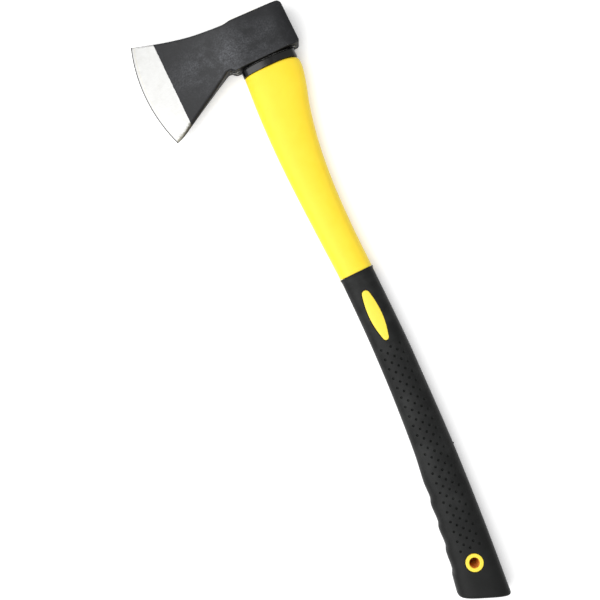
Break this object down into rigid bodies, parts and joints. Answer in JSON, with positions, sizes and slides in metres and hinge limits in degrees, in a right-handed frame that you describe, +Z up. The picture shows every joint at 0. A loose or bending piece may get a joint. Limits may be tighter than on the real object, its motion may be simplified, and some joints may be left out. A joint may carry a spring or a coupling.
{
  "type": "axe",
  "caption": "Single-bit axe with a dark painted head and bright ground bit, resin-set in a curved yellow handle with a dimpled black rubber grip and hanging hole.",
  "frame": {"origin": "middle of the underside of the bounding box of the axe lying flat on its cheek", "axes": "+Y along the handle from the head to the butt, +X from the poll towards the cutting edge, +Z up through the thickness"},
  "size_m": [0.1786, 0.712, 0.036],
  "materials": {
    "painted_steel": "satin dark grey paint over forged steel, with the bit ground bright beyond a straight mask line",
    "gasket_rubber": "glossy black",
    "cast_resin": "cured grey resin, cloudy and slightly glossy",
    "glass_fibre": "pultruded glass fibre in resin",
    "yellow_plastic": "satin moulded polypropylene",
    "grip_rubber": "fine matt soft-touch rubber"
  },
  "bodies": {
    "root": {"axe_head": "painted_steel", "eye_collar": "gasket_rubber", "epoxy_fill": "cast_resin", "core_rod": "glass_fibre", "handle_jacket": "yellow_plastic", "grip_sleeve": "grip_rubber"}
  },
  "joints": []
}
